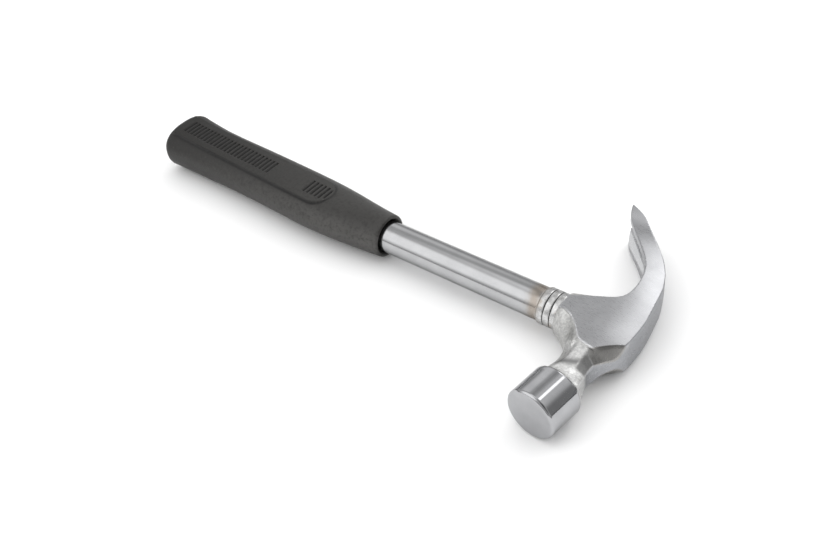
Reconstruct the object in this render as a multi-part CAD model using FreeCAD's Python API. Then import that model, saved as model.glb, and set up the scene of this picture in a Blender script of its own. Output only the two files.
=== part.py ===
"""Claw hammer: forged head, tubular steel shaft, steel expander plug and moulded rubber grip.

Millimetres.  The hammer lies on its side: +X runs along the shaft from the butt to the crown,
+Y runs along the head from the striking face to the claw, +Z is up, square to the cheeks.
Everything is drawn about the shaft's axis and moved at the end, so that the origin is the
bottom centre of the whole hammer's box.
"""
import FreeCAD, Part
import math
import os

V = FreeCAD.Vector

# ---- driving dimensions -------------------------------------------------------------------
TUBE_R = 8.75               # outside radius of the shaft tube
TUBE_WALL = 1.5
TUBE_TOP_X = 1.0            # end of the tube inside the head
TUBE_BUTT_X = -288.0        # end of the tube inside the grip
BEAD_R = 9.6                # three upset beads under the head
BEAD_GROOVE_R = 9.0
BEAD_PITCH = 3.75
BEAD_COUNT = 3

HEAD_FOOT_X = -27.6         # lower end of the eye boss, where the last bead bears
SOCKET_DEPTH = 28.8         # blind socket for the tube
CHEEK_HALF = 11.0           # ground cheeks are flat at +-CHEEK_HALF
RIDGE_HALF = 4.6            # half width of the crown's band where it runs down the neck
BOSS_Y = -0.5               # the boss stands a little towards the bell
BOSS_FOOT_R = 11.3
BOSS_TOP_R = 14.6
BOSS_TOP_X = -11.0

BELL_R = 13.25              # striking bell
BELL_DROOP = 7.0            # degrees that the bell leans towards the grip
FACE_AT = 63.8              # striking face, measured along the bell's axis from the shaft's axis
FACE_CHAMFER = 1.0
BELL_LENGTH = 20.2
BELL_SHOULDER = 2.4         # rounded back edge of the bell

CHEEK_BEVEL = 40.0          # degrees that the bevel by the neck slopes from the cheek

CLAW_TIP = (-33.5, 77.8)
CLAW_TIP_HALF = 13.25       # half width across the claw's tips
CLAW_WAIST_HALF = 9.7
SLOT_TIP_HALF = 3.2         # half width of the nail slot at the tips
SLOT_ROOT_HALF = 1.3
SLOT_ROOT_Y = 43.0
BEVEL_ANGLE = 32.0          # degrees that each tine's inner side slopes into the slot

PLUG_LENGTH = 24.0          # expander plug inside the tube's head end
PLUG_LEAD = 1.5

GRIP_MOUTH_X = -136.0
GRIP_BUTT_X = -304.5
GRIP_MOUTH_R = 11.8
GRIP_MOUTH_GAP = 1.3        # clearance round the tube at the flared mouth
GRIP_MOUTH_DEPTH = 7.0
MOUTH_LIP_R = 1.0
BUTT_EDGE_R = 5.5
PANEL_END_X = -176.0        # rounded end of the raised flat panel on each broad side
PANEL_HALF = 10.0
PANEL_OFFSET = -0.8         # the panels stand a little towards the bell's side of the grip
RIB_PITCH = 2.92
RIB_WIDTH = 1.3
RIB_DEPTH = 0.9
RIB_LENGTH = 10.4
RIB_GROUPS = ((-294.0, 25), (-194.0, 6))   # first groove and number of grooves

# along X: centre in Y, half width in Y, half thickness in Z, squareness of the section
GRIP_STATIONS = (
    (GRIP_MOUTH_X, 0.0, GRIP_MOUTH_R, GRIP_MOUTH_R, 0.71),
    (-150.0, 0.1, 13.6, 11.4, 0.73),
    (-168.0, 0.7, 15.9, 10.9, 0.76),
    (-190.0, 1.7, 17.1, 10.6, 0.79),
    (-215.0, 3.0, 17.0, 10.6, 0.80),
    (-245.0, 4.2, 16.5, 11.3, 0.80),
    (-275.0, 5.0, 16.4, 12.4, 0.80),
    (GRIP_BUTT_X, 7.0, 18.5, 13.25, 0.80),
)


def spline(points):
    """Smooth edge through points."""
    curve = Part.BSplineCurve()
    curve.interpolate(points)
    return curve.toShape()


def closed_section(centre, across, half_across, half_z, squareness):
    """Smooth closed wire in the plane of across and Z: eight poles, 0.71 is round, 1 is square."""
    reach = 6 / (4 + 2 * squareness)
    a, b = half_across * reach, half_z * reach
    c, d = a * squareness, b * squareness
    rim = [(a, 0), (c, d), (0, b), (-c, d), (-a, 0), (-c, -d), (0, -b), (c, -d)]
    curve = Part.BSplineCurve()
    curve.buildFromPolesMultsKnots([centre + across * u + V(0, 0, z) for u, z in rim],
                                   [1] * 9, list(range(9)), True, 3)
    return Part.Wire([curve.toShape()])


def polygon_wire(points):
    return Part.makePolygon(list(points) + [points[0]])


def face(points):
    return Part.Face(polygon_wire(points))


def prism(wire, direction):
    return Part.Face(wire).extrude(direction)


# ---- head ---------------------------------------------------------------------------------
def bell():
    """Round striking bell, revolved about an axis that droops towards the grip."""
    back = FACE_AT - BELL_LENGTH
    neck_r = 8.6
    outline = [
        (0, back - 3.0), (neck_r, back - 3.0), (neck_r + 1.2, back - 0.8),
        (BELL_R - 0.8, back + 0.3), (BELL_R, back + BELL_SHOULDER - 1.0),
        (BELL_R, FACE_AT - FACE_CHAMFER - 0.1), (BELL_R - FACE_CHAMFER, FACE_AT), (0, FACE_AT),
    ]
    half = face([V(r, -along, 0) for r, along in outline])
    solid = half.revolve(V(0, 0, 0), V(0, 1, 0), 360)
    solid.rotate(V(0, 0, 0), V(0, 0, 1), -BELL_DROOP)
    return solid


def neck():
    """Forged neck from the back of the bell up into the eye block, a smooth loft along Y."""
    sections = (
        (-42.5, -14.9, 4.3, 9.5, 0.72),
        (-37.0, -14.3, 3.5, 8.9, 0.74),
        (-31.0, -14.3, 3.1, 9.0, 0.78),
        (-25.5, -15.3, 4.6, 10.1, 0.80),
        (-20.5, -17.6, 7.2, 11.3, 0.82),
        (-15.0, -22.2, 10.0, 12.3, 0.84),
        (-8.0, HEAD_FOOT_X + 0.4, 10.9, 12.9, 0.86),
    )
    wires = []
    for y, x_low, x_high, half_z, squareness in sections:
        wires.append(closed_section(V((x_low + x_high) / 2, y, 0), V(1, 0, 0),
                                    (x_high - x_low) / 2, half_z, squareness))
    return Part.makeLoft(wires, True, False)


def side_outline():
    """Eye block and claw seen square to the cheeks: crown side out, hollow side back."""
    tip_x, tip_y = CLAW_TIP
    crown = [V(3.0, -32.0, 0), V(4.0, -25.5, 0), V(7.9, -18.3, 0), V(10.6, -11.0, 0),
             V(11.3, -3.0, 0), V(10.6, 11.0, 0), V(8.7, 24.0, 0), V(4.3, 38.5, 0),
             V(-6.1, 55.2, 0), V(-18.5, 68.0, 0), V(tip_x + 4.8, tip_y - 2.0, 0), V(tip_x, tip_y, 0)]
    hollow = [V(tip_x - 0.2, tip_y - 0.9, 0), V(-31.6, 71.9, 0), V(-27.6, 65.7, 0),
              V(-22.2, 59.8, 0), V(-17.2, 54.4, 0), V(-11.8, 48.0, 0), V(-7.6, 41.0, 0),
              V(-5.0, 33.0, 0), V(-4.0, 25.5, 0), V(-4.6, 18.5, 0), V(-8.6, 12.6, 0),
              V(-15.0, 9.2, 0), V(HEAD_FOOT_X, 2.2, 0)]
    return Part.Wire([
        spline(crown),
        Part.makeLine(crown[-1], hollow[0]),
        spline(hollow),
        Part.makeLine(hollow[-1], V(HEAD_FOOT_X, -2.6, 0)),
        Part.makeLine(V(HEAD_FOOT_X, -2.6, 0), V(-15.0, -13.0, 0)),
        Part.makeLine(V(-15.0, -13.0, 0), V(-6.0, -32.0, 0)),
        Part.makeLine(V(-6.0, -32.0, 0), crown[0]),
    ])


def width_outline():
    """Half widths seen along the shaft: neck ridge, flat cheeks, a waist, spreading tines."""
    tip_y = CLAW_TIP[1]
    claw = [V(0, 20.0, CHEEK_HALF), V(0, 33.0, CHEEK_HALF - 0.6), V(0, 46.0, CLAW_WAIST_HALF),
            V(0, 59.0, CLAW_WAIST_HALF + 0.2), V(0, 69.0, CLAW_WAIST_HALF + 1.4),
            V(0, tip_y + 0.5, CLAW_TIP_HALF)]
    ridge = [V(0, -34.0, RIDGE_HALF), V(0, -16.0, RIDGE_HALF + 0.6), V(0, -11.5, CHEEK_HALF)]
    top = ridge + [claw[0]]
    edges = Part.makePolygon(top).Edges + [spline(claw)]
    below = [edge.mirror(V(0, 0, 0), V(0, 0, 1)) for edge in edges]
    ends = [Part.makeLine(p, V(0, p.y, -p.z)) for p in (top[0], claw[-1])]
    return Part.Wire(Part.__sortEdges__(edges + below + ends))


def claw_block():
    """Side outline pulled across the head, trimmed to the widths of cheeks and tines."""
    side = side_outline()
    side.translate(V(0, 0, -20))
    slab = prism(side, V(0, 0, 40))
    plan = width_outline()
    plan.translate(V(-60, 0, 0))
    return slab.common(prism(plan, V(100, 0, 0)))


def eye_boss():
    """Round boss round the tube, opening towards the claw."""
    length = BOSS_TOP_X - HEAD_FOOT_X
    return Part.makeCone(BOSS_FOOT_R, BOSS_TOP_R, length, V(HEAD_FOOT_X, BOSS_Y, 0), V(1, 0, 0))


def nail_slot():
    """V slot between the tines, with a round root."""
    tip_y = CLAW_TIP[1] + 4.0
    outline = [V(-60, SLOT_ROOT_Y, -SLOT_ROOT_HALF), V(-60, tip_y, -SLOT_TIP_HALF),
               V(-60, tip_y, SLOT_TIP_HALF), V(-60, SLOT_ROOT_Y, SLOT_ROOT_HALF)]
    wedge = prism(polygon_wire(outline), V(100, 0, 0))
    root = Part.makeCylinder(SLOT_ROOT_HALF, 100, V(-60, SLOT_ROOT_Y, 0), V(1, 0, 0))
    return wedge.fuse(root)


def tine_bevel():
    """Groove along the hollow side of the claw that thins both tines towards the slot."""
    start, end = V(-7.0, 42.0, 0), V(CLAW_TIP[0] - 1.5, CLAW_TIP[1] - 0.5, 0)
    along = (end - start).normalize()
    out = V(-along.y, along.x, 0)
    spread = 11.0
    drop = spread * math.tan(math.radians(BEVEL_ANGLE))
    apex, base = start + out * -3.0, start + out * (drop - 3.0)
    outline = [apex, base + V(0, 0, spread), base + V(0, 0, -spread)]
    return prism(polygon_wire(outline), along * 60.0)


def cheek_bevel(side):
    """Flat bevel that runs from the cheek down to the crown side of the neck."""
    slope = math.radians(CHEEK_BEVEL)
    normal = V(0.63 * math.sin(slope), -0.777 * math.sin(slope), side * math.cos(slope))
    cutter = Part.makeBox(60, 60, 20)
    cutter.translate(V(-30, -30, 0))
    cutter.Placement = FreeCAD.Placement(
        V(4.0, -16.8, CHEEK_HALF * side), FreeCAD.Rotation(V(0, 0, 1), normal)
    ).multiply(cutter.Placement)
    return cutter


def head():
    forging = neck().fuse(eye_boss())
    cheeks = Part.makeBox(60, 60, 2 * CHEEK_HALF, V(-40, -45, -CHEEK_HALF))
    forging = forging.common(cheeks)
    body = forging.fuse(claw_block())
    body = body.cut(cheek_bevel(1)).cut(cheek_bevel(-1))
    body = body.fuse(bell())
    body = body.cut(nail_slot()).cut(tine_bevel())
    socket = Part.makeCylinder(TUBE_R, SOCKET_DEPTH, V(HEAD_FOOT_X, 0, 0), V(1, 0, 0))
    return body.cut(socket).removeSplitter()


# ---- shaft --------------------------------------------------------------------------------
def shaft_tube():
    """Steel tube with three upset beads that bear against the head."""
    outline = [V(TUBE_BUTT_X, TUBE_R, 0)]
    first = HEAD_FOOT_X - BEAD_COUNT * BEAD_PITCH
    outline.append(V(first - 0.9, TUBE_R, 0))
    for i in range(BEAD_COUNT):
        x = first + i * BEAD_PITCH
        outline += [V(x, BEAD_GROOVE_R, 0), V(x + 0.5, BEAD_R, 0),
                    V(x + BEAD_PITCH - 0.5, BEAD_R, 0)]
    outline += [V(HEAD_FOOT_X, BEAD_GROOVE_R, 0), V(HEAD_FOOT_X, TUBE_R, 0), V(TUBE_TOP_X, TUBE_R, 0),
                V(TUBE_TOP_X, TUBE_R - TUBE_WALL, 0), V(TUBE_BUTT_X, TUBE_R - TUBE_WALL, 0)]
    return face(outline).revolve(V(0, 0, 0), V(1, 0, 0), 360)


def expander_plug():
    """Steel plug driven into the tube, which holds the tube tight in the socket."""
    radius = TUBE_R - TUBE_WALL
    plug = Part.makeCylinder(radius, PLUG_LENGTH, V(TUBE_TOP_X - PLUG_LENGTH, 0, 0), V(1, 0, 0))
    lead_edges = [edge for edge in plug.Edges if abs(edge.CenterOfMass.x - plug.BoundBox.XMin) < 0.01]
    return plug.makeChamfer(PLUG_LEAD, lead_edges)


# ---- grip ---------------------------------------------------------------------------------
def grip_at(x):
    """Centre in Y and half thickness of the grip at x, straight between stations."""
    for a, b in zip(GRIP_STATIONS, GRIP_STATIONS[1:]):
        if a[0] >= x >= b[0]:
            t = (x - a[0]) / (b[0] - a[0])
            return a[1] + (b[1] - a[1]) * t, a[3] + (b[3] - a[3]) * t
    return GRIP_STATIONS[-1][1], GRIP_STATIONS[-1][3]


def grip_loft(squareness=None):
    wires = [closed_section(V(x, centre, 0), V(0, 1, 0), half_y, half_z, squareness or own)
             for x, centre, half_y, half_z, own in GRIP_STATIONS]
    return Part.makeLoft(wires, True, False)


def panel():
    """Flat-topped panels, cut from a square-shouldered grip by an outline with a round end."""
    start, end = GRIP_BUTT_X + BUTT_EDGE_R, PANEL_END_X - PANEL_HALF
    centre = [V(x, grip_at(x)[0] + PANEL_OFFSET, -20) for x in (start, (start + end) / 2, end)]
    near, far = [[p + V(0, side * PANEL_HALF, 0) for p in centre] for side in (-1, 1)]
    round_end = Part.Arc(near[-1], centre[-1] + V(PANEL_HALF, 0, 0), far[-1]).toShape()
    outline = Part.Wire([spline(near), round_end, spline(far[::-1]), Part.makeLine(far[0], near[0])])
    return grip_loft(squareness=0.97).common(prism(outline, V(0, 0, 40)))


def rib_grooves():
    """Grooves across both panels, in two groups, kept inside each panel's round end."""
    grooves = []
    above = 3.0
    for first, count in RIB_GROUPS:
        for i in range(count):
            x = first + i * RIB_PITCH
            centre, half_z = grip_at(x)
            past = max(0.0, x + RIB_WIDTH - (PANEL_END_X - PANEL_HALF))
            length = min(RIB_LENGTH, 2 * math.sqrt(max(PANEL_HALF ** 2 - past ** 2, 0)) - 4.0)
            for side in (-1, 1):
                low = min(side * (half_z - RIB_DEPTH), side * (half_z + above))
                corner = V(x, centre + PANEL_OFFSET - length / 2, low)
                grooves.append(Part.makeBox(RIB_WIDTH, length, RIB_DEPTH + above, corner))
    return Part.makeCompound(grooves)


def grip():
    """Moulded sleeve, closed at the butt, with a flared mouth round the tube."""
    body = grip_loft()
    for x, radius in ((GRIP_BUTT_X, BUTT_EDGE_R), (GRIP_MOUTH_X, MOUTH_LIP_R)):
        rim = [edge for edge in body.Edges
               if abs(edge.BoundBox.XMax - x) < 0.01 and abs(edge.BoundBox.XMin - x) < 0.01]
        body = body.makeFillet(radius, rim)
    body = body.fuse(panel())
    bore = Part.makeCylinder(TUBE_R, GRIP_MOUTH_X - TUBE_BUTT_X, V(TUBE_BUTT_X, 0, 0), V(1, 0, 0))
    mouth = Part.makeCone(TUBE_R, TUBE_R + GRIP_MOUTH_GAP, GRIP_MOUTH_DEPTH,
                          V(GRIP_MOUTH_X - GRIP_MOUTH_DEPTH, 0, 0), V(1, 0, 0))
    return body.cut(bore).cut(mouth).cut(rib_grooves())


def main():
    nodes = {"head": head(), "shaft_tube": shaft_tube(), "expander_plug": expander_plug(),
             "grip": grip()}
    box = Part.makeCompound(list(nodes.values())).optimalBoundingBox(False)
    shift = V(-(box.XMin + box.XMax) / 2, -(box.YMin + box.YMax) / 2, -box.ZMin)
    os.makedirs("parts", exist_ok=True)
    for name, shape in nodes.items():
        shape.translate(shift)
        shape.exportStep(f"parts/{name}.step")
        print(name, "valid", shape.isValid(), "solids", len(shape.Solids),
              "cm3", round(shape.Volume / 1000, 2))
    print("shift", shift, "size", box.XLength, box.YLength, box.ZLength)


main()
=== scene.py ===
"""Claw hammer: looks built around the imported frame.

Shapes are worked out in millimetres in the hammer's own frame, whose origin is on the shaft's
axis: +X along the shaft to the crown, +Y from the striking face to the claw, +Z square to the
cheeks.  put() moves them into the row frame, in metres.
"""
import math

import bmesh
import bpy
import numpy as np
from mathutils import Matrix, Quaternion, Vector


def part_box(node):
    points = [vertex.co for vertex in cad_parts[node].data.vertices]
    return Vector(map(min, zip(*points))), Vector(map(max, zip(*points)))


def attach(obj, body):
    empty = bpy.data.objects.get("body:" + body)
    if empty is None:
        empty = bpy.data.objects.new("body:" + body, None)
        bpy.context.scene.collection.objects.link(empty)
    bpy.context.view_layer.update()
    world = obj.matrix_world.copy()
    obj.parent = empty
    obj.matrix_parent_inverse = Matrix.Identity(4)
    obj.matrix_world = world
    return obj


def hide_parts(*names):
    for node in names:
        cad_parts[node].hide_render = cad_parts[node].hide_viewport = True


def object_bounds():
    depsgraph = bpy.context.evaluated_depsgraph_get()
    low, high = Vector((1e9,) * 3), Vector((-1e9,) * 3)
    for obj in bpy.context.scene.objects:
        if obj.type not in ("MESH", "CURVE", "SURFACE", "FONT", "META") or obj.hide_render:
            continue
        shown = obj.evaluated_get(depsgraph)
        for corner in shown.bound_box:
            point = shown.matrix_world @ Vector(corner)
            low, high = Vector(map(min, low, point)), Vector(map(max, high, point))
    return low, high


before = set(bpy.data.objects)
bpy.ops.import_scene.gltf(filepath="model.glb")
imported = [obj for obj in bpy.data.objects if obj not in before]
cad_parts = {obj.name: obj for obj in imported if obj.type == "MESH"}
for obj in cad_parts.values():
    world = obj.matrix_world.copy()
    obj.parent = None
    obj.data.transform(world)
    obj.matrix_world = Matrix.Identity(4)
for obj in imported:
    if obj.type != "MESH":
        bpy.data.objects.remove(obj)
cad_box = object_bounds()

# ---- driving dimensions, millimetres in the hammer's frame ----------------------------------
MM = 0.001
TUBE_R = 8.75
TUBE_WALL = 1.5
TUBE_TOP_X = 1.0
TUBE_BUTT_X = -288.0
BEAD_R = 9.6
BEAD_GROOVE_R = 9.0
BEAD_PITCH = 3.75
BEAD_COUNT = 3
FOOT_X = -27.6              # lower end of the eye boss
SOCKET_DEPTH = 28.8
CHEEK_HALF = 11.0
ROLL_REACH = 21.0           # how far from the crown the cheeks start to roll down
BOSS_R = 11.0
BOSS_TOP_X = -11.0          # inside the eye block

BELL_R = 13.22
BELL_DROOP = math.radians(7.0)
FACE_AT = 63.8
BELL_BACK = 43.6
FACE_CHAMFER = 1.0
NECK_END_Y = -44.5          # inside the bell
NECK_TOP_Y = -8.0           # inside the eye block
FACET_CORNER = (-2.0, -21.7)
FACET_ALONG = (0.777, 0.63)
SLOT_ROOT_Y = 43.0
SLOT_ROOT_HALF = 1.3
SLOT_OPENING = 0.0503
BEVEL_START = (-7.0, 42.0)
BEVEL_ALONG = (-0.6256, 0.7802)
CLAW_TIP = (-33.5, 77.8)
HEAD_PITCH = 0.45           # mesh size of the head

GRIP_MOUTH_X = -136.0
GRIP_BUTT_X = -304.5
GRIP_MOUTH_R = 11.8
MOUTH_GAP = 1.3
MOUTH_DEPTH = 7.0
MOUTH_LIP_R = 1.0
GRIP_CLEARANCE = 0.02       # between the sleeve's inside and the tube
BUTT_EDGE_R = 5.5
PANEL_END_X = -176.0
PANEL_HALF = 10.0
PANEL_OFFSET = -0.8
RIB_PITCH = 2.92
RIB_WIDTH = 1.35
RIB_DEPTH = 0.9
RIB_LENGTH = 10.4
RIB_GROUPS = ((-294.0, 25), (-194.0, 6))    # first groove's place, number of grooves
RIB_DRAFT = 0.14
RIB_MARGIN = 4.0
SIDE_COUNT = 12             # mesh steps round each side of the sleeve, from panel edge to middle
TUBE_SIDES = 160


def frame_origin():
    """Row-frame place of the hammer's origin, read from the shaft's box."""
    low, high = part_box("shaft_tube")
    return Vector((high.x - TUBE_TOP_X * MM, (low.y + high.y) / 2, (low.z + high.z) / 2))


ORIGIN = frame_origin()


def put(x, y, z):
    """Row-frame place, in metres, of a point in the hammer's frame."""
    return ORIGIN + Vector((x, y, z)) * MM


# ---- shape tools ----------------------------------------------------------------------------
def spline(*points):
    """Natural cubic curve through (t, value) points, running on straight past both ends."""
    t, v = np.array(points, float).T
    n, h = len(t), np.diff(t)
    slope = np.diff(v) / h
    system, load = np.eye(n), np.zeros(n)
    for i in range(1, n - 1):
        system[i, i - 1:i + 2] = h[i - 1], 2 * (h[i - 1] + h[i]), h[i]
        load[i] = 6 * (slope[i] - slope[i - 1])
    bend = np.linalg.solve(system, load)
    first = slope[0] - h[0] * (2 * bend[0] + bend[1]) / 6
    last = slope[-1] + h[-1] * (bend[-2] + 2 * bend[-1]) / 6

    def value(x):
        x = np.asarray(x, float)
        at = np.clip(x, t[0], t[-1])
        i = np.clip(np.searchsorted(t, at) - 1, 0, n - 2)
        p, q = t[i + 1] - at, at - t[i]
        curve = (bend[i] * p ** 3 + bend[i + 1] * q ** 3) / (6 * h[i])
        curve = curve + (v[i] / h[i] - bend[i] * h[i] / 6) * p
        curve = curve + (v[i + 1] / h[i] - bend[i + 1] * h[i] / 6) * q
        return curve + np.minimum(x - t[0], 0) * first + np.maximum(x - t[-1], 0) * last
    return value


def steepness(curve, t):
    """Length of the curve for one step along t, used to turn offsets into distances."""
    step = 0.05
    return np.sqrt(1 + ((curve(t + step) - curve(t - step)) / (2 * step)) ** 2)


def both(a, b, k=0.4):
    """Part inside both shapes, with the edge rounded over about k."""
    h = np.clip(0.5 + 0.5 * (a - b) / k, 0, 1)
    return b * (1 - h) + a * h + k * h * (1 - h)


def either(a, b, k=0.4):
    """Part inside either shape, with a fillet of about k."""
    return -both(-a, -b, k)


def ramp(t, low, high):
    """Smooth step from 0 at low to 1 at high."""
    t = np.clip((t - low) / (high - low), 0, 1)
    return t * t * (3 - 2 * t)


def surface(field, low, high, pitch):
    """Closed quad mesh of field = 0: one point per crossed cell, then moved onto the surface."""
    axes = [np.arange(a - 2 * pitch, b + 2.5 * pitch, pitch) for a, b in zip(low, high)]
    grid = field(*np.meshgrid(*axes, indexing="ij", sparse=True))
    inside = grid < 0
    shape = tuple(n - 1 for n in grid.shape)
    corner = [(i, j, k) for i in (0, 1) for j in (0, 1) for k in (0, 1)]
    full = sum(inside[i:i + shape[0], j:j + shape[1], k:k + shape[2]].astype(np.int8)
               for i, j, k in corner)
    cell = np.argwhere((full > 0) & (full < 8))
    number = np.full(shape, -1)
    number[tuple(cell.T)] = np.arange(len(cell))
    place, crossings = np.zeros(cell.shape), np.zeros(len(cell))
    for a in corner:
        for axis in range(3):
            if a[axis]:
                continue
            b = tuple(1 if i == axis else c for i, c in enumerate(a))
            va, vb = grid[tuple((cell + a).T)], grid[tuple((cell + b).T)]
            crossed = (va < 0) != (vb < 0)
            share = np.where(crossed, va / np.where(crossed, va - vb, 1), 0)
            place[crossed] += np.array(a)
            place[:, axis] += share
            crossings += crossed
    points = (cell + place / crossings[:, None]) * pitch + [a[0] for a in axes]
    quads = []
    for axis in range(3):
        u, v = (axis + 1) % 3, (axis + 2) % 3
        inner = [slice(1, -1)] * 3
        near, far = list(inner), list(inner)
        near[axis], far[axis] = slice(0, -1), slice(1, None)
        start = inside[tuple(near)]
        node = np.argwhere(start != inside[tuple(far)])
        leaving = start[tuple(node.T)]
        node[:, u] += 1
        node[:, v] += 1
        eu, ev = np.eye(3, dtype=int)[u], np.eye(3, dtype=int)[v]
        ring = np.stack([number[tuple((node - s).T)] for s in (eu + ev, ev, 0 * eu, eu)], 1)
        ring[~leaving] = ring[~leaving][:, ::-1]
        quads.append(ring)
    quads = np.concatenate(quads)
    for _ in range(4):
        slope = gradient(field, points)
        step = slope * (field(*points.T) / np.maximum((slope ** 2).sum(1), 0.05))[:, None]
        points = points - np.clip(step, -pitch / 2, pitch / 2)
    return points, quads, gradient(field, points)


def gradient(field, points, step=0.02):
    """Slope of the field at each point, which is also the surface's outward direction."""
    slope = np.zeros(points.shape)
    for axis in range(3):
        shift = np.eye(3)[axis] * step
        slope[:, axis] = (field(*(points + shift).T) - field(*(points - shift).T)) / (2 * step)
    return slope


def make_piece(name, points, faces, material, replaced):
    """Mesh object from millimetre points, riding on the hammer's one body."""
    mesh = bpy.data.meshes.new(name)
    places = np.asarray(points, float) * MM + np.array(ORIGIN)
    mesh.from_pydata(places.tolist(), [], [tuple(int(i) for i in f) for f in faces])
    mesh.polygons.foreach_set("use_smooth", [True] * len(mesh.polygons))
    mesh.materials.append(material)
    piece = bpy.data.objects.new(name, mesh)
    bpy.context.scene.collection.objects.link(piece)
    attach(piece, "root")
    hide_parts(replaced)
    return piece


def ring_faces(rings, sides, closed=False):
    """Quads from each ring of points to the next, and from the last to the first if closed."""
    faces = []
    for i in range(rings if closed else rings - 1):
        j = (i + 1) % rings
        for k in range(sides):
            m = (k + 1) % sides
            faces.append((i * sides + k, i * sides + m, j * sides + m, j * sides + k))
    return faces


def mark(mesh, name, values):
    """Number for every point of a mesh, which its material reads by name."""
    layer = mesh.attributes.new(name, "FLOAT", "POINT")
    layer.data.foreach_set("value", np.asarray(values, np.float32))


# ---- head -----------------------------------------------------------------------------------
# Outlines in the hammer's plane: crown_x, hollow_x and neck_low_x give x at y, and cheek_front_y
# gives y at x.  The others give a height, or the size of a bevel, at y.
crown_x = spline((-46, 5.0), (-42, 4.4), (-38, 3.6), (-33.5, 2.8), (-29.2, 2.8), (-25.2, 3.7),
                 (-22.2, 4.9), (-19.3, 6.7), (-16.4, 8.6), (-12, 10.3), (-6, 11.1), (0, 11.28),
                 (5, 11.2), (13, 10.4), (24, 8.7), (31, 7.4), (44, 2.3), (51.4, -2.4), (58, -8.0),
                 (64, -13.8), (70, -20.2), (76, -28.6), (77.6, -32.4))
hollow_x = spline((2.2, -27.6), (9.2, -15), (12.6, -8.8), (18.5, -4.6), (25.5, -4.0), (33, -5.0),
                  (41, -7.5), (48, -11.6), (54.4, -16.9), (59.8, -21.9), (65.7, -27.4), (71.9, -31.9),
                  (76.9, -33.7))
claw_half = spline((0, 11.0), (10, 11.0), (20, 10.9), (33, 10.4), (46, 9.5), (56, 9.3), (64, 9.9),
                   (70, 11.1), (74, 12.3), (77.8, 13.3))
cheek_front_y = spline((-29, -6.6), (-21, -8.6), (-16, -12.5), (-12.3, -16.8), (-9.4, -20.0),
                       (-5.8, -21.2), (-1, -21.8))
edge_roll = spline((-25, 2.3), (-5, 2.2), (8, 1.9), (20, 1.6), (32, 1.8), (50, 1.2), (64, 0.8),
                   (78, 0.3))

neck_low_x = spline((-46, -17.6), (-42, -16.6), (-38, -15.6), (-34.8, -14.7), (-30, -13.8),
                    (-26, -14.1), (-23, -15.0), (-20.1, -16.8), (-17.2, -19.0), (-15.2, -21.0),
                    (-13.5, -23.2), (-10, -28.2))
neck_top_z = spline((-46, 11.8), (-42.5, 10.2), (-39, 9.0), (-35.5, 8.2), (-32, 8.6), (-28, 9.6),
                    (-22, 10.9), (-16, 12.8))
inner_reach = spline((-46, 5.0), (-36, 5.0), (-29, 6.1), (-22, 7.3), (-10, 8.0))


def bell_frame(x, y):
    """Distance along the bell's drooping axis, and across it in the hammer's plane."""
    return (-x * math.sin(BELL_DROOP) - y * math.cos(BELL_DROOP),
            x * math.cos(BELL_DROOP) - y * math.sin(BELL_DROOP))


def bell(x, y, z):
    """Round striking bell with a chamfered face and a sloping shoulder."""
    along, across = bell_frame(x, y)
    r = np.sqrt(across ** 2 + z ** 2)
    chamfer = (r - BELL_R + along - FACE_AT + FACE_CHAMFER) / math.sqrt(2)
    shoulder = (BELL_BACK - along) * 0.9 + (r - BELL_R) * 0.43 + 0.5
    front = both(both(r - BELL_R, along - FACE_AT, 0.2), chamfer, 0.35)
    return both(front, shoulder, 0.7)


def neck(x, y, z):
    """Octagonal forged neck, narrowest halfway, that opens towards the bell and the boss."""
    outer_ridge, inner_ridge = 4.8, 3.2
    s = np.abs(z)
    high, low, top = crown_x(y), neck_low_x(y), neck_top_z(y)

    def chamfer(side, reach, ridge):
        rise = np.minimum(top, CHEEK_HALF) - ridge
        return (side * rise + (s - ridge) * reach) / np.sqrt(rise ** 2 + reach ** 2)
    opening = np.clip(-34 - y, 0, 8)
    ridge = outer_ridge + 0.25 * np.clip(y + 30, 0, 14) + 0.4 * opening
    outer = chamfer(x - high, 5.3 + 0.5 * opening, ridge)
    inner = chamfer(low - x, inner_reach(y), inner_ridge)
    core = both(both(x - high, low - x, 0.6), s - top, 0.8)
    core = both(both(core, outer, 0.8), inner, 1.0)
    core = both(core, FOOT_X + 0.6 - x, 0.8)
    return both(both(core, NECK_END_Y - y, 0.5), y - NECK_TOP_Y, 0.5)


def boss(x, y, z):
    """Round boss round the tube, which flares towards the neck on the bell's side."""
    r = np.sqrt((y + 0.5) ** 2 + z ** 2)
    up = np.clip(x - FOOT_X, -2, None)
    flare = ramp(-y, 0, 8) * (0.16 * up + 0.02 * up ** 2)
    cone = (r - BOSS_R - 0.26 * up - flare) * 0.9
    return both(both(cone, FOOT_X - x, 0.7), x - BOSS_TOP_X, 0.5)


def facet_axes(x, y):
    """Distances along the facet's upper edge, and outwards from it."""
    dx, dy = x - FACET_CORNER[0], y - FACET_CORNER[1]
    a, b = FACET_ALONG
    return dx * a + dy * b, dx * b - dy * a


def facet(x, y, z):
    """Ground bevel from the cheek's lower corner down to the crown's ridge."""
    along, out = facet_axes(x, y)
    slope = np.clip(0.57 + 0.118 * along, 0, 2.2)
    start = CHEEK_HALF - 0.1 * np.clip(along, 0, 16)
    return (np.abs(z) - start + slope * (out + 0.8)) / np.sqrt(1 + slope ** 2)


def crown_gap(x, y):
    """Distance past the crown's surface, negative inside."""
    return (x - crown_x(y)) / steepness(crown_x, y)


def crown_skin(x, y, z):
    """The crown's surface, very slightly rounded across the head."""
    return crown_gap(x, y) + 0.003 * z ** 2


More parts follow.
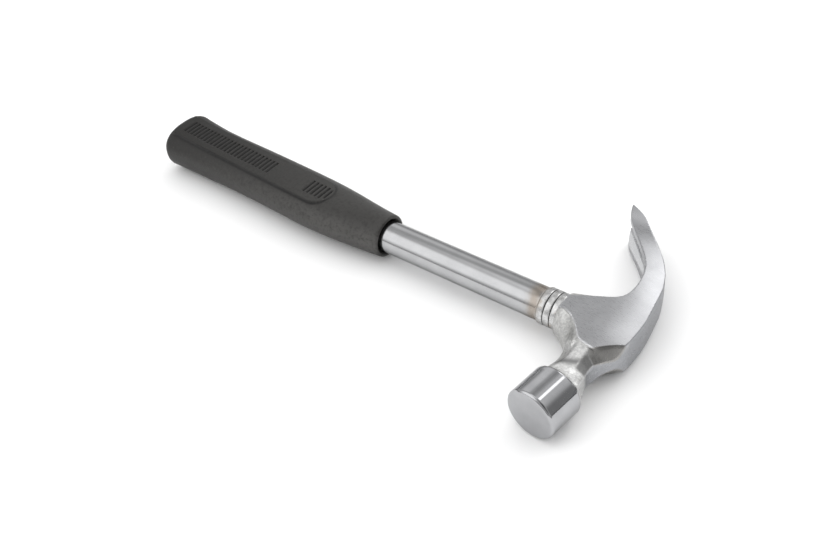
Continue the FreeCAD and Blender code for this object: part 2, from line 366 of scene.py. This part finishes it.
def cheek_height(x, y):
    """Half thickness between the ground cheeks, which roll down towards the crown."""
    half = np.minimum(claw_half(np.maximum(y, 0)), BELL_R)
    return half - edge_roll(y) * np.clip(1 + crown_gap(x, y) / ROLL_REACH, 0, None) ** 2.6


def claw_block(x, y, z):
    """Eye block and claw between the crown and the hollow, with rolled cheek edges."""
    s = np.abs(z)
    hollow = (hollow_x(np.maximum(y, 2.2)) - x) / steepness(hollow_x, np.maximum(y, 3.0))
    foot = FOOT_X - x - 2 * np.maximum(y - 5, 0)
    slab = both(both(crown_skin(x, y, z), s - cheek_height(x, y), 0.45), both(hollow, foot, 0.6), 0.5)
    front = (cheek_front_y(x) - y) / steepness(cheek_front_y, x) + (s - CHEEK_HALF) * 0.2
    return both(slab, front, 0.4)


def nail_slot(x, y, z):
    """V slot between the tines, with a round root."""
    past = y - SLOT_ROOT_Y
    half = SLOT_ROOT_HALF + np.clip(past, 0, None) * SLOT_OPENING
    return np.sqrt(np.minimum(past, 0) ** 2 + z ** 2) - half


def tine_bevel(x, y, z):
    """Material below both tines' inner bevels is ground away."""
    dx, dy = x - BEVEL_START[0], y - BEVEL_START[1]
    a, b = BEVEL_ALONG
    along, out = dx * a + dy * b, dy * a - dx * b
    depth = 3.0 * ramp(along, 0, 14) - 3.0 * np.maximum(-along, 0)
    return (out + depth - 0.62 * np.abs(z)) * 0.85


def forging(x, y, z):
    """Rough neck and boss, kept just under the ground cheeks and falling away before them."""
    rough = either(neck(x, y, z), boss(x, y, z), 3.0)
    beyond = y - cheek_front_y(x)
    fall = 0.27 + 0.6 * ramp(-x, 10, 17)
    lid = cheek_height(x, y) - 0.05 + fall * np.minimum(beyond, 0) - 0.8 * ramp(beyond, 0, 2.5)
    lid = np.maximum(lid, neck_top_z(y) - 3 * np.maximum(y + 22.5, 0))
    rough = both(rough, (np.abs(z) - lid) * 0.85, 0.6)
    return both(rough, facet(x, y, z), 0.5)


def ground(x, y, z):
    """Everything with a ground surface: cheeks, crown, claw and facet."""
    return both(claw_block(x, y, z), facet(x, y, z), 0.45)


def head_field(x, y, z):
    """Signed field of the whole head, negative inside."""
    body = either(ground(x, y, z), forging(x, y, z), 0.4)
    body = either(body, bell(x, y, z), 1.6)
    body = both(body, -nail_slot(x, y, z), 0.35)
    body = both(body, tine_bevel(x, y, z), 0.5)
    tip = (y - CLAW_TIP[1]) * 0.97 - (x - CLAW_TIP[0]) * 0.22
    body = both(body, tip, 0.3)
    socket = both(np.sqrt(y ** 2 + z ** 2) - TUBE_R, x - FOOT_X - SOCKET_DEPTH, 0.2)
    return both(body, -socket, 0.2)


def close_to(distance, width, reach=1.5):
    """1 on a surface, falling to 0 over width a little way off it."""
    return np.clip(reach - np.abs(distance) / width, 0, 1)


def mark_finishes(mesh, x, y, z):
    """Where each finish goes, and where shade is painted, from the same fields that make the shape."""
    rough, flat, round_face = forging(x, y, z), ground(x, y, z), bell(x, y, z)
    on_facet = close_to(facet(x, y, z), 0.2, 1.6) * ramp(facet_axes(x, y)[0], -1.4, -0.6)
    on_crown = close_to(crown_skin(x, y, z), 0.25) * (y > -50)
    forged = np.clip(0.5 + (np.minimum(flat, round_face) - rough) / 0.25, 0, 1)
    forged = forged * (1 - on_facet) * (1 - on_crown * ramp(y, -36, -31))
    mark(mesh, "forged", forged)
    mark(mesh, "bell", np.clip(0.5 + (np.minimum(flat, rough) - round_face) / 0.3, 0, 1))
    mark(mesh, "facet", on_facet * (y < -8))
    mark(mesh, "crown", on_crown)
    mark(mesh, "bevel", close_to(tine_bevel(x, y, z), 0.25) * (y > 40))

    # Painted shade: a darker flank on the neck, a dark wedge in the dip before the bell, a dark line
    # at the bell's rear rim, and a painted shadow on the boss's foot next to the top bead.
    flank = ramp(x, -3.5, -1.0) * ramp(y, -35.0, -33.5) * (np.abs(z) > 4.5)
    dip = np.exp(-((y + 32.0 - 0.4 * (x + 5)) / 1.9) ** 2) * ramp(-x, 2.0, 3.0) * ramp(x, -13, -11)
    rim = np.exp(-((bell_frame(x, y)[0] - BELL_BACK - 0.3) / 0.45) ** 2)
    gap = (x < FOOT_X + 0.4) * (np.hypot(y, z) < BEAD_R + 1.0)
    shade = forged * np.maximum(0.85 * flank, 0.95 * dip) * (y < -20)
    mark(mesh, "shade", np.maximum(np.maximum(shade, 0.8 * rim), gap))


def head():
    """Whole forging as one closed mesh, shaded by the field's own slope."""
    low, high = (-34.5, -65.5, -13.3), (11.6, 78, 13.3)
    points, quads, normals = surface(head_field, low, high, HEAD_PITCH)
    piece = make_piece("head_forging", points, quads, head_steel(), "head")
    mark_finishes(piece.data, *points.T)
    length = np.linalg.norm(normals, axis=1)[:, None]
    piece.data.normals_split_custom_set_from_vertices((normals / np.maximum(length, 1e-6)).tolist())


# ---- shaft ----------------------------------------------------------------------------------
def shaft():
    """Turned outline of the tube with its three beads, closed along its bore."""
    first = FOOT_X - BEAD_COUNT * BEAD_PITCH
    outline = [(x, TUBE_R) for x in np.linspace(TUBE_BUTT_X, first - 0.9, 60)]
    rise = BEAD_R - BEAD_GROOVE_R
    bead = [(a, BEAD_GROOVE_R + share * rise)
            for a, share in ((0.0, 0.0), (0.08, 7 / 15), (0.2, 11 / 15), (0.42, 0.9), (0.8, 1.0))]
    for i in range(BEAD_COUNT):
        x = first + i * BEAD_PITCH
        outline += [(x + a, r) for a, r in bead]
        outline += [(x + BEAD_PITCH - a, r) for a, r in bead[::-1]]
    outline += [(FOOT_X + 0.02, TUBE_R), (TUBE_TOP_X, TUBE_R), (TUBE_TOP_X, TUBE_R - TUBE_WALL),
                (TUBE_BUTT_X, TUBE_R - TUBE_WALL)]
    points = []
    for x, r in outline:
        for k in range(TUBE_SIDES):
            angle = 2 * math.pi * k / TUBE_SIDES
            points.append((x, r * math.cos(angle), r * math.sin(angle)))
    faces = ring_faces(len(outline), TUBE_SIDES, closed=True)
    piece = make_piece("shaft_tube_bright", points, faces, tube_steel(), "shaft_tube")
    piece.data.set_sharp_from_angle(angle=math.radians(50))


# ---- grip -----------------------------------------------------------------------------------
# Section along the sleeve: middle, half width, half height and the power of its superellipse.
grip_centre = spline((-304.5, 7.0), (-275, 5.0), (-245, 4.2), (-215, 3.0), (-190, 1.7), (-168, 0.7),
                     (-150, 0.1), (-136, 0.0))
grip_half_y = spline((-304.5, 18.5), (-275, 16.4), (-245, 16.5), (-215, 17.0), (-190, 17.1),
                     (-168, 15.9), (-150, 13.6), (-136, 11.8))
grip_half_z = spline((-304.5, 13.2), (-275, 12.4), (-245, 11.3), (-215, 10.6), (-190, 10.6),
                     (-168, 10.9), (-150, 11.4), (-136, 11.8))
grip_power = spline((-304.5, 2.41), (-215, 2.41), (-190, 2.36), (-168, 2.22), (-150, 2.1), (-136, 2.0))


def past_panel(x):
    """How far x is into the panel's round end."""
    return max(0.0, x - (PANEL_END_X - PANEL_HALF))


def panel_edge(x, across):
    """Distance past the panel's outline: straight sides, a round end towards the mouth."""
    return np.hypot(past_panel(x), across) - PANEL_HALF


def panel_share(x, across):
    """1 on the raised panel, 0 off it."""
    return ramp(-panel_edge(x, across), -0.35, 0.35) * ramp(x, GRIP_BUTT_X + 2.5, GRIP_BUTT_X + 5.5)


def groove_depth(x, across):
    """Depth of the rib grooves at x, at a distance across from the panel's centre line."""
    for first, count in RIB_GROUPS:
        i = math.floor((x - first + RIB_PITCH / 4) / RIB_PITCH)
        if not 0 <= i < count:
            continue
        start = first + i * RIB_PITCH
        past = past_panel(start + RIB_WIDTH)
        length = min(RIB_LENGTH, 2 * math.sqrt(max(PANEL_HALF ** 2 - past ** 2, 0)) - RIB_MARGIN)
        off_middle = abs(x - start - RIB_WIDTH / 2)
        lengthways = np.clip((RIB_WIDTH / 2 + RIB_DRAFT - off_middle) / (2 * RIB_DRAFT), 0, 1)
        crossways = np.clip((length / 2 + RIB_DRAFT - np.abs(across)) / (2 * RIB_DRAFT), 0, 1)
        return RIB_DEPTH * lengthways * crossways
    return 0.0


def ring_lines():
    """Distances from the panel's centre line of the mesh lines over a broad side."""
    one_side = [1.6, 3.2, 4.4, 4.9, 5.06, 5.2, 5.34, 5.5, 6.6, 7.8, 8.8]
    one_side += [PANEL_HALF + past for past in (-0.6, -0.35, -0.15, 0.0, 0.15, 0.35, 0.7, 1.3)]
    return np.array([-a for a in one_side[::-1]] + [0.0] + one_side)


def grip_ring(x, inset=0.0):
    """One closed ring of the sleeve: over the top, round one side, under, and back up."""
    a, b = float(grip_half_y(x)) - inset, float(grip_half_z(x)) - inset
    centre, power = float(grip_centre(x)), float(grip_power(x))
    lines = ring_lines() * min(1.0, 0.06 * a)
    middle = PANEL_OFFSET * ramp(-x, 150, 180)
    off = lines + middle
    body = b * (1 - np.clip(np.abs(off) / a, 0, 1) ** power) ** (1 / power)
    flat = b - 0.35 * (lines / PANEL_HALF) ** 2
    share = panel_share(x, lines)
    top = body + (np.maximum(flat, body) - body) * share - groove_depth(x, lines)
    upper = [(centre + o, h) for o, h in zip(off, top)]

    def side(end, sign):
        start = math.acos(min(1.0, abs(end) / a) ** (power / 2))
        angles = [start * (1 - k / SIDE_COUNT) for k in range(1, SIDE_COUNT)]
        return [(centre + sign * a * math.cos(t) ** (2 / power), b * math.sin(t) ** (2 / power))
                for t in angles]
    right, left = side(off[-1], 1), side(off[0], -1)
    ring = upper + right + [(centre + a, 0.0)]
    ring += [(y, -z) for y, z in right[::-1]] + [(y, -z) for y, z in upper[::-1]]
    ring += [(y, -z) for y, z in left] + [(centre - a, 0.0)] + left[::-1]
    return np.array([(x, y, z) for y, z in ring])


def grip_painted_shade(x):
    """For every point of a ring: how much shade is painted there, in a groove or at the panel's foot.
    """
    lines = ring_lines()
    foot = np.exp(-((panel_edge(x, lines) - 0.3) / 0.55) ** 2) * (x > GRIP_BUTT_X + BUTT_EDGE_R)
    top = np.maximum(groove_depth(x, lines) / RIB_DEPTH, foot)
    unshaded_side = [0.0] * (2 * SIDE_COUNT - 1)
    return list(top) + unshaded_side + list(top[::-1]) + unshaded_side


def grip_stations():
    """Places along the sleeve that need a ring: dense where the grooves and the panel end are."""
    places = list(np.linspace(GRIP_BUTT_X + BUTT_EDGE_R, GRIP_MOUTH_X - MOUTH_LIP_R, 90))
    places += list(np.arange(PANEL_END_X - PANEL_HALF, PANEL_END_X + 1.0, 0.45))
    edges = []
    for first, count in RIB_GROUPS:
        for i in range(count):
            start = first + i * RIB_PITCH
            for edge in (start, start + RIB_WIDTH):
                edges += [edge - RIB_DRAFT, edge + RIB_DRAFT]
            places += [start + RIB_WIDTH / 2, start + (RIB_WIDTH + RIB_PITCH) / 2]
    kept = [p for p in places if min(abs(p - e) for e in edges) > 0.16]
    stations = sorted(kept + edges)
    return [p for i, p in enumerate(stations) if i == 0 or p - stations[i - 1] > 0.05]


def butt_rings():
    """Flat end face and its rounded edge."""
    ring = grip_ring(GRIP_BUTT_X, BUTT_EDGE_R)
    middle = np.array((GRIP_BUTT_X, float(grip_centre(GRIP_BUTT_X)), 0.0))
    rings = [middle + (ring - middle) * share for share in (0.0, 0.35, 0.7)]
    for k in range(9):
        angle = math.pi / 2 * (1 - k / 9)
        x = GRIP_BUTT_X + BUTT_EDGE_R * (1 - math.sin(angle))
        rings.append(grip_ring(x, BUTT_EDGE_R * (1 - math.cos(angle))))
    return rings


def mouth_rings():
    """Rounded lip, the gap round the tube, and the inside down to the tube's buried end."""
    rings = []
    mouth = grip_ring(GRIP_MOUTH_X)
    for k in range(1, 6):
        angle = math.pi / 2 * k / 5
        ring = mouth.copy()
        ring[:, 0] = GRIP_MOUTH_X - MOUTH_LIP_R * (1 - math.sin(angle))
        ring[:, 1:] *= 1 - MOUTH_LIP_R * (1 - math.cos(angle)) / GRIP_MOUTH_R
        rings.append(ring)
    opening, bore = TUBE_R + MOUTH_GAP, TUBE_R + GRIP_CLEARANCE
    end = TUBE_BUTT_X - GRIP_CLEARANCE
    for x, r in ((GRIP_MOUTH_X, opening + 0.25), (GRIP_MOUTH_X - 0.25, opening),
                 (GRIP_MOUTH_X - 3, opening - 0.5), (GRIP_MOUTH_X - MOUTH_DEPTH, bore),
                 (-200.0, bore), (end, bore), (end, 4.0), (end, 0.0)):
        ring = mouth.copy()
        ring[:, 0] = x
        ring[:, 1:] *= r / GRIP_MOUTH_R
        rings.append(ring)
    return rings


def grip():
    """Rubber sleeve as one closed mesh of rings from the butt to the buried end of the tube."""
    stations = grip_stations()
    butt, mouth = butt_rings(), mouth_rings()
    rings = butt + [grip_ring(x) for x in stations] + mouth
    sides = len(rings[0])
    # Painted shade in the grooves and at the panel's foot, carried to the rubber as a point attribute.
    painted_crease_shade = np.zeros((len(rings), sides))
    painted_crease_shade[len(butt):len(butt) + len(stations)] = [grip_painted_shade(x) for x in stations]
    faces = ring_faces(len(rings), sides)
    piece = make_piece("grip_sleeve", np.concatenate(rings), faces, rubber(), "grip")
    mark(piece.data, "painted_crease_shade", painted_crease_shade.ravel())
    clean(piece.data)


def clean(mesh):
    """Joins doubled points, such as those at the ends' centres, and turns all faces outwards."""
    work = bmesh.new()
    work.from_mesh(mesh)
    bmesh.ops.remove_doubles(work, verts=work.verts, dist=1e-7)
    bmesh.ops.recalc_face_normals(work, faces=work.faces)
    work.to_mesh(mesh)
    work.free()


# ---- materials ------------------------------------------------------------------------------
class Nodes:
    """Short ways to wire one material."""

    def __init__(self, name):
        self.material = bpy.data.materials.new(name)
        self.material.use_nodes = True
        self.tree = self.material.node_tree
        self.shader = self.tree.nodes["Principled BSDF"]
        self.place = self.tree.nodes.new("ShaderNodeTexCoord").outputs["Object"]

    def link(self, source, target):
        self.tree.links.new(source, target)

    def value(self, target, given):
        if isinstance(given, (int, float)):
            target.default_value = given
        elif isinstance(given, tuple):
            target.default_value = (*given, 1.0)
        else:
            self.link(given, target)

    def stretch(self, factors):
        node = self.tree.nodes.new("ShaderNodeMapping")
        node.inputs["Scale"].default_value = factors
        self.link(self.place, node.inputs["Vector"])
        return node.outputs["Vector"]

    def noise(self, per_mm, detail=3.0, rough=0.55, factors=None):
        node = self.tree.nodes.new("ShaderNodeTexNoise")
        node.inputs["Scale"].default_value = per_mm / MM
        node.inputs["Detail"].default_value = detail
        node.inputs["Roughness"].default_value = rough
        self.link(self.stretch(factors) if factors else self.place, node.inputs["Vector"])
        return node.outputs["Fac"]

    def attribute(self, name):
        node = self.tree.nodes.new("ShaderNodeAttribute")
        node.attribute_name = name
        return node.outputs["Fac"]

    def scale(self, source, low, high, to_low=0.0, to_high=1.0, smooth=False):
        node = self.tree.nodes.new("ShaderNodeMapRange")
        if smooth:
            node.interpolation_type = "SMOOTHSTEP"
        self.link(source, node.inputs["Value"])
        limits = {"From Min": low, "From Max": high, "To Min": to_low, "To Max": to_high}
        for key, number in limits.items():
            node.inputs[key].default_value = number
        return node.outputs["Result"]

    def math(self, kind, a, b=0.0):
        node = self.tree.nodes.new("ShaderNodeMath")
        node.operation = kind
        self.value(node.inputs[0], a)
        self.value(node.inputs[1], b)
        return node.outputs[0]

    def mix(self, share, a, b):
        node = self.tree.nodes.new("ShaderNodeMix")
        node.data_type = "RGBA"
        self.value(node.inputs[0], share)
        self.value(node.inputs[6], a)
        self.value(node.inputs[7], b)
        return node.outputs[2]

    def axis(self, index):
        node = self.tree.nodes.new("ShaderNodeSeparateXYZ")
        self.link(self.place, node.inputs[0])
        return node.outputs[index]

    def bump(self, height, distance_mm, strength=1.0, under=None):
        node = self.tree.nodes.new("ShaderNodeBump")
        node.inputs["Strength"].default_value = strength
        node.inputs["Distance"].default_value = distance_mm * MM
        self.link(height, node.inputs["Height"])
        if under is not None:
            self.link(under, node.inputs["Normal"])
        return node.outputs["Normal"]

    def finish(self, **inputs):
        for key, given in inputs.items():
            self.value(self.shader.inputs[key.replace("_", " ")], given)
        return self.material


def head_steel():
    """Polished bell, satin ground cheeks and claw, rough light forging at the neck and boss."""
    n = Nodes("head_steel")
    forged, bell_part, facet_part = n.attribute("forged"), n.attribute("bell"), n.attribute("facet")
    cloud = n.noise(0.12, 3)
    streak = n.noise(1.2, 4, 0.6, (1.0, 0.05, 0.4))
    scale = n.noise(0.9, 5, 0.65)
    brushed = n.noise(1.1, 5, 0.7, (0.25, 1.0, 0.6))
    polished = n.mix(n.scale(cloud, 0.3, 0.7), (0.405, 0.408, 0.42), (0.455, 0.458, 0.47))
    scuffs = n.mix(bell_part, n.scale(brushed, 0.38, 0.62, 0.0, 0.30), (0.0, 0.0, 0.0))
    polished = n.mix(scuffs, polished, (0.50, 0.505, 0.52))
    dark = n.mix(n.scale(streak, 0.3, 0.7), (0.32, 0.315, 0.305), (0.37, 0.363, 0.352))
    rough = n.mix(n.scale(scale, 0.35, 0.65), (0.38, 0.38, 0.372), (0.62, 0.62, 0.605))
    speck = n.scale(n.noise(0.45, 4, 0.6), 0.66, 0.74, 0, 0.45)
    rough = n.mix(speck, rough, (0.34, 0.29, 0.23))
    # Towards the bell the rough forging turns paler: partly its own lighter surface, partly painted
    # light.
    near_bell = n.scale(n.axis(1), put(0, -26, 0).y, put(0, -19, 0).y, 0.0, 0.75, smooth=True)
    pale = n.mix(n.scale(scale, 0.35, 0.65), (0.62, 0.62, 0.615), (0.90, 0.90, 0.89))
    rough = n.mix(near_bell, pale, rough)
    # Painted shade: the crown band is darker than the other polished steel, standing in for the dim
    # floor it reflects.
    crown = n.mix(n.scale(streak, 0.3, 0.7), (0.36, 0.367, 0.385), (0.41, 0.417, 0.435))
    colour = n.mix(n.attribute("bevel"), polished, (0.60, 0.605, 0.615))
    colour = n.mix(n.attribute("crown"), colour, crown)
    colour = n.mix(forged, n.mix(facet_part, colour, dark), rough)
    # Painted shade: the marked flank, dip, rim and bead gap go dark grey.
    colour = n.mix(n.attribute("shade"), colour, (0.26, 0.26, 0.26))
    satin = n.scale(brushed, 0.35, 0.65, 0.262, 0.315)
    gloss = n.math("ADD", n.math("MULTIPLY", satin, n.math("SUBTRACT", 1.0, bell_part)),
                   n.math("MULTIPLY", bell_part, 0.085))
    matte = n.scale(scale, 0.3, 0.7, 0.30, 0.44)
    roughness = n.math("ADD", n.math("MULTIPLY", gloss, n.math("SUBTRACT", 1.0, forged)),
                       n.math("MULTIPLY", matte, forged))
    pits = n.math("MULTIPLY", n.noise(0.9, 5, 0.7), forged)
    dents = n.math("MULTIPLY", n.noise(0.25, 3, 0.5), forged)
    normal = n.bump(dents, 0.45, 0.7, n.bump(pits, 0.22, 0.9))
    lines = n.math("MULTIPLY", streak, n.math("SUBTRACT", 1.0, n.math("MAXIMUM", forged, bell_part)))
    normal = n.bump(lines, 0.003, 0.7, normal)
    return n.finish(Base_Color=colour, Metallic=1.0, Roughness=roughness, Normal=normal,
                    Specular_Tint=(0.72, 0.72, 0.72))


def tube_steel():
    """Bright plated tube, duller and rougher at the beads, with a brown heat tint before them."""
    n = Nodes("tube_steel")
    along = n.axis(0)
    bead_start = put(FOOT_X - BEAD_COUNT * BEAD_PITCH, 0, 0).x
    wobble = n.math("MULTIPLY", n.math("SUBTRACT", n.noise(0.16, 4, 0.6), 0.5), 9 * MM)
    at = n.math("ADD", along, wobble)
    beads = n.scale(along, bead_start - 1.2 * MM, bead_start - 0.4 * MM)
    tint = n.math("MULTIPLY", n.scale(at, bead_start - 9 * MM, bead_start - 3 * MM, smooth=True),
                  n.scale(at, bead_start - 2 * MM, bead_start + 3 * MM, 1.0, 0.0, smooth=True))
    clean_steel = n.mix(n.scale(n.noise(0.1, 3), 0.3, 0.7), (0.43, 0.433, 0.44), (0.475, 0.478, 0.485))
    worn = n.mix(n.scale(n.noise(0.6, 5, 0.65), 0.35, 0.65), (0.46, 0.46, 0.455), (0.68, 0.68, 0.68))
    rust = n.scale(n.noise(0.35, 4, 0.6), 0.6, 0.7, 0, 0.45)
    worn = n.mix(rust, worn, (0.36, 0.25, 0.15))
    colour = n.mix(beads, clean_steel, worn)
    # Painted shade: dark lines in the grooves between the beads and at both ends of the beads.
    turn = n.math("DIVIDE", n.math("SUBTRACT", along, bead_start), BEAD_PITCH * MM)
    off_line = n.math("ABSOLUTE", n.math("SUBTRACT", turn, n.math("ROUND", turn)))
    line = n.math("MULTIPLY", n.scale(off_line, 0.03, 0.09, 1.0, 0.0), beads)
    colour = n.mix(n.math("MULTIPLY", line, 0.85), colour, (0.05, 0.045, 0.04))
    colour = n.mix(n.math("MULTIPLY", tint, 0.6), colour, (0.30, 0.235, 0.17))
    fine = n.noise(1.4, 3, 0.6, (0.04, 1.0, 1.0))
    roughness = n.math("ADD", n.scale(fine, 0.3, 0.7, 0.13, 0.18), n.math("MULTIPLY", beads, 0.12))
    roughness = n.math("ADD", roughness, n.math("MULTIPLY", tint, 0.1))
    pits = n.math("MULTIPLY", n.noise(0.8, 4, 0.6), beads)
    normal = n.bump(pits, 0.07, 0.7)
    return n.finish(Base_Color=colour, Metallic=1.0, Roughness=roughness, Normal=normal,
                    Specular_Tint=(0.5, 0.5, 0.5))


def plain_steel():
    """Turned steel of the plug, inside the tube's end."""
    n = Nodes("plain_steel")
    colour = n.mix(n.noise(0.3, 3), (0.5, 0.5, 0.5), (0.6, 0.6, 0.6))
    roughness = n.scale(n.noise(1.0, 3), 0.3, 0.7, 0.3, 0.45)
    return n.finish(Base_Color=colour, Metallic=1.0, Roughness=roughness)


def rubber():
    """Matte charcoal moulded rubber with a fine grain, and painted shade on the top, underside,
    grooves and towards the butt.
    """
    n = Nodes("grip_rubber")
    cloud = n.noise(0.05, 5, 0.62)
    grain = n.noise(1.3, 4, 0.65)
    mottle = n.noise(0.55, 5, 0.75)
    butt, mouth = put(GRIP_BUTT_X, 0, 0).x, put(GRIP_MOUTH_X, 0, 0).x
    # The cloud mixes a darker and a lighter tone at random; both tones ramp from dark at the butt to
    # light at the mouth, which is painted shade towards the butt and painted light towards the mouth.
    along = n.scale(n.axis(0), butt, mouth)
    worn = n.mix(along, (0.0065, 0.0059, 0.0050), (0.0620, 0.0600, 0.0570))
    dusty_and_painted_butt_shade = n.mix(along, (0.0150, 0.0138, 0.0122), (0.0850, 0.0825, 0.0785))
    colour = n.mix(n.scale(cloud, 0.3, 0.7), worn, dusty_and_painted_butt_shade)
    colour = n.mix(n.scale(mottle, 0.38, 0.50, 0.5, 0), colour, (0.010, 0.0094, 0.0086))
    colour = n.mix(n.scale(mottle, 0.54, 0.70, 0, 0.35), colour, (0.085, 0.081, 0.076))
    # Painted shade: the top and the underside of the sleeve are darkened.
    painted_top_shade = n.scale(n.axis(2), put(0, 0, 5.0).z, put(0, 0, 10.0).z, 0.0, 0.55, smooth=True)
    colour = n.mix(painted_top_shade, colour, (0.008, 0.0075, 0.0068))
    under = n.scale(n.axis(2), put(0, 0, -8.0).z, put(0, 0, 1.0).z, 0.7, 0.0, smooth=True)
    colour = n.mix(under, colour, (0.008, 0.0075, 0.0068))
    # Painted shade: the grooves and the panel's foot go nearly black.
    colour = n.mix(n.attribute("painted_crease_shade"), colour, (0.003, 0.0028, 0.0026))
    roughness = n.scale(n.math("ADD", cloud, n.math("MULTIPLY", mottle, 0.5)), 0.55, 0.95, 0.42, 0.56)
    normal = n.bump(grain, 0.10, 0.8, n.bump(mottle, 0.12, 0.6))
    return n.finish(Base_Color=colour, Roughness=roughness, Normal=normal, Specular_IOR_Level=0.36)


# ---- stage ----------------------------------------------------------------------------------
ROOM = 0.58         # brightness of the room
HORIZON = 0.45      # share of it left at the horizon
# Patches: azimuth, elevation, inner and outer angle of the edge, gain.
SKY = (
    (-136.0, 37.0, 16.0, 37.0, 0.95),
    (158.0, 77.0, 5.0, 21.0, 0.7),
    (-20.0, 62.0, 10.0, 28.0, -0.25),
    (69.0, 57.5, 2.0, 5.9, 1.7),
    (66.0, 52.0, 6.0, 30.0, 0.3),
    (89.0, 38.0, 9.0, 19.0, 1.5),
    (99.0, 31.0, 4.0, 13.0, 0.6),
    (135.0, 28.0, 6.0, 20.0, 0.40),
    (112.0, 55.0, 4.0, 11.0, -0.12),
    (25.0, 17.0, 8.0, 24.0, -0.28),
    (-45.0, 36.0, 14.0, 32.0, -0.36),
)


def floor():
    """Plain pale floor just under the hammer."""
    size = 3.0
    mesh = bpy.data.meshes.new("floor")
    z = cad_box[0][2] - 0.1 * MM
    corners = [(-size, -size, z), (size, -size, z), (size, size, z), (-size, size, z)]
    mesh.from_pydata(corners, [], [(0, 1, 2, 3)])
    n = Nodes("pale_floor")
    colour = n.mix(n.noise(0.01, 2), (0.90, 0.90, 0.90), (0.93, 0.93, 0.93))
    mesh.materials.append(n.finish(Base_Color=colour, Roughness=0.9, Specular_IOR_Level=0.1))
    board = bpy.data.objects.new("floor", mesh)
    bpy.context.scene.collection.objects.link(board)


def softbox(name, place, aim, size, watts):
    """Rectangular soft light that points from its place at its aim, in metres."""
    light = bpy.data.lights.new(name, "AREA")
    light.shape = "RECTANGLE"
    light.size, light.size_y = size
    light.energy = watts
    lamp = bpy.data.objects.new(name, light)
    lamp.location = place
    lamp.rotation_euler = (Vector(aim) - Vector(place)).to_track_quat("-Z", "Y").to_euler()
    bpy.context.scene.collection.objects.link(lamp)
    return lamp


def towards(azimuth, elevation):
    """Direction by compass angle from +X and height above the floor, in degrees."""
    a, e = math.radians(azimuth), math.radians(elevation)
    return Vector((math.cos(a) * math.cos(e), math.sin(a) * math.cos(e), math.sin(e)))


def studio():
    """Grey room with soft patches of light in the distance, dark near the horizon."""
    world = bpy.data.worlds.new("studio")
    bpy.context.scene.world = world
    world.use_nodes = True
    tree = world.node_tree
    place = tree.nodes.new("ShaderNodeTexCoord").outputs["Generated"]

    def glow(azimuth, elevation, inner, outer, gain):
        """Round patch of sky that is brighter or darker, with a soft edge between two angles."""
        dot = tree.nodes.new("ShaderNodeVectorMath")
        dot.operation = "DOT_PRODUCT"
        dot.inputs[1].default_value = towards(azimuth, elevation)
        tree.links.new(place, dot.inputs[0])
        edge = tree.nodes.new("ShaderNodeMapRange")
        edge.interpolation_type = "SMOOTHSTEP"
        tree.links.new(dot.outputs["Value"], edge.inputs["Value"])
        edge.inputs["From Min"].default_value = math.cos(math.radians(outer))
        edge.inputs["From Max"].default_value = math.cos(math.radians(inner))
        edge.inputs["To Max"].default_value = gain
        return edge.outputs["Result"]

    total = ROOM
    for patch in SKY:
        add = tree.nodes.new("ShaderNodeMath")
        if isinstance(total, float):
            add.inputs[0].default_value = total
        else:
            tree.links.new(total, add.inputs[0])
        tree.links.new(glow(*patch), add.inputs[1])
        total = add.outputs[0]
    split = tree.nodes.new("ShaderNodeSeparateXYZ")
    tree.links.new(place, split.inputs[0])
    horizon = tree.nodes.new("ShaderNodeMapRange")
    horizon.interpolation_type = "SMOOTHSTEP"
    tree.links.new(split.outputs["Z"], horizon.inputs["Value"])
    horizon.inputs["From Min"].default_value = 0.02
    horizon.inputs["From Max"].default_value = 0.10
    horizon.inputs["To Min"].default_value = HORIZON
    dim = tree.nodes.new("ShaderNodeMath")
    dim.operation = "MULTIPLY"
    tree.links.new(total, dim.inputs[0])
    tree.links.new(horizon.outputs["Result"], dim.inputs[1])
    back = tree.nodes["Background"]
    back.inputs["Color"].default_value = (1.0, 1.0, 1.0, 1.0)
    tree.links.new(dim.outputs[0], back.inputs["Strength"])
    fill = softbox("fill", (-0.1, 0.1, 1.2), (-0.1, 0.1, 0.0), (4.0, 4.0), 35)
    fill.visible_glossy = False


# Eye and aim in the hammer's frame, and the turn about the line of sight.
CAMERA_AT = (145.0, -303.70, 340.29)
CAMERA_AIM = (-104.088, -18.316, 0.0)
CAMERA_ROLL = math.radians(-5.6608)
LENS = 43.2


def camera():
    """Camera at the photograph's viewing angle."""
    data = bpy.data.cameras.new("camera")
    data.lens = LENS
    data.sensor_width = 36.0
    data.clip_start = 0.01
    eye = bpy.data.objects.new("camera", data)
    eye.location = put(*CAMERA_AT)
    eye.rotation_mode = "QUATERNION"
    look = (put(*CAMERA_AIM) - put(*CAMERA_AT)).to_track_quat("-Z", "Y")
    eye.rotation_quaternion = look @ Quaternion((0, 0, 1), CAMERA_ROLL)
    bpy.context.scene.collection.objects.link(eye)
    bpy.context.scene.camera = eye


camera()
studio()
floor()
head()
shaft()
grip()
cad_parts["expander_plug"].data.materials.clear()
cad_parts["expander_plug"].data.materials.append(plain_steel())
bpy.context.scene.view_settings.view_transform = "Standard"
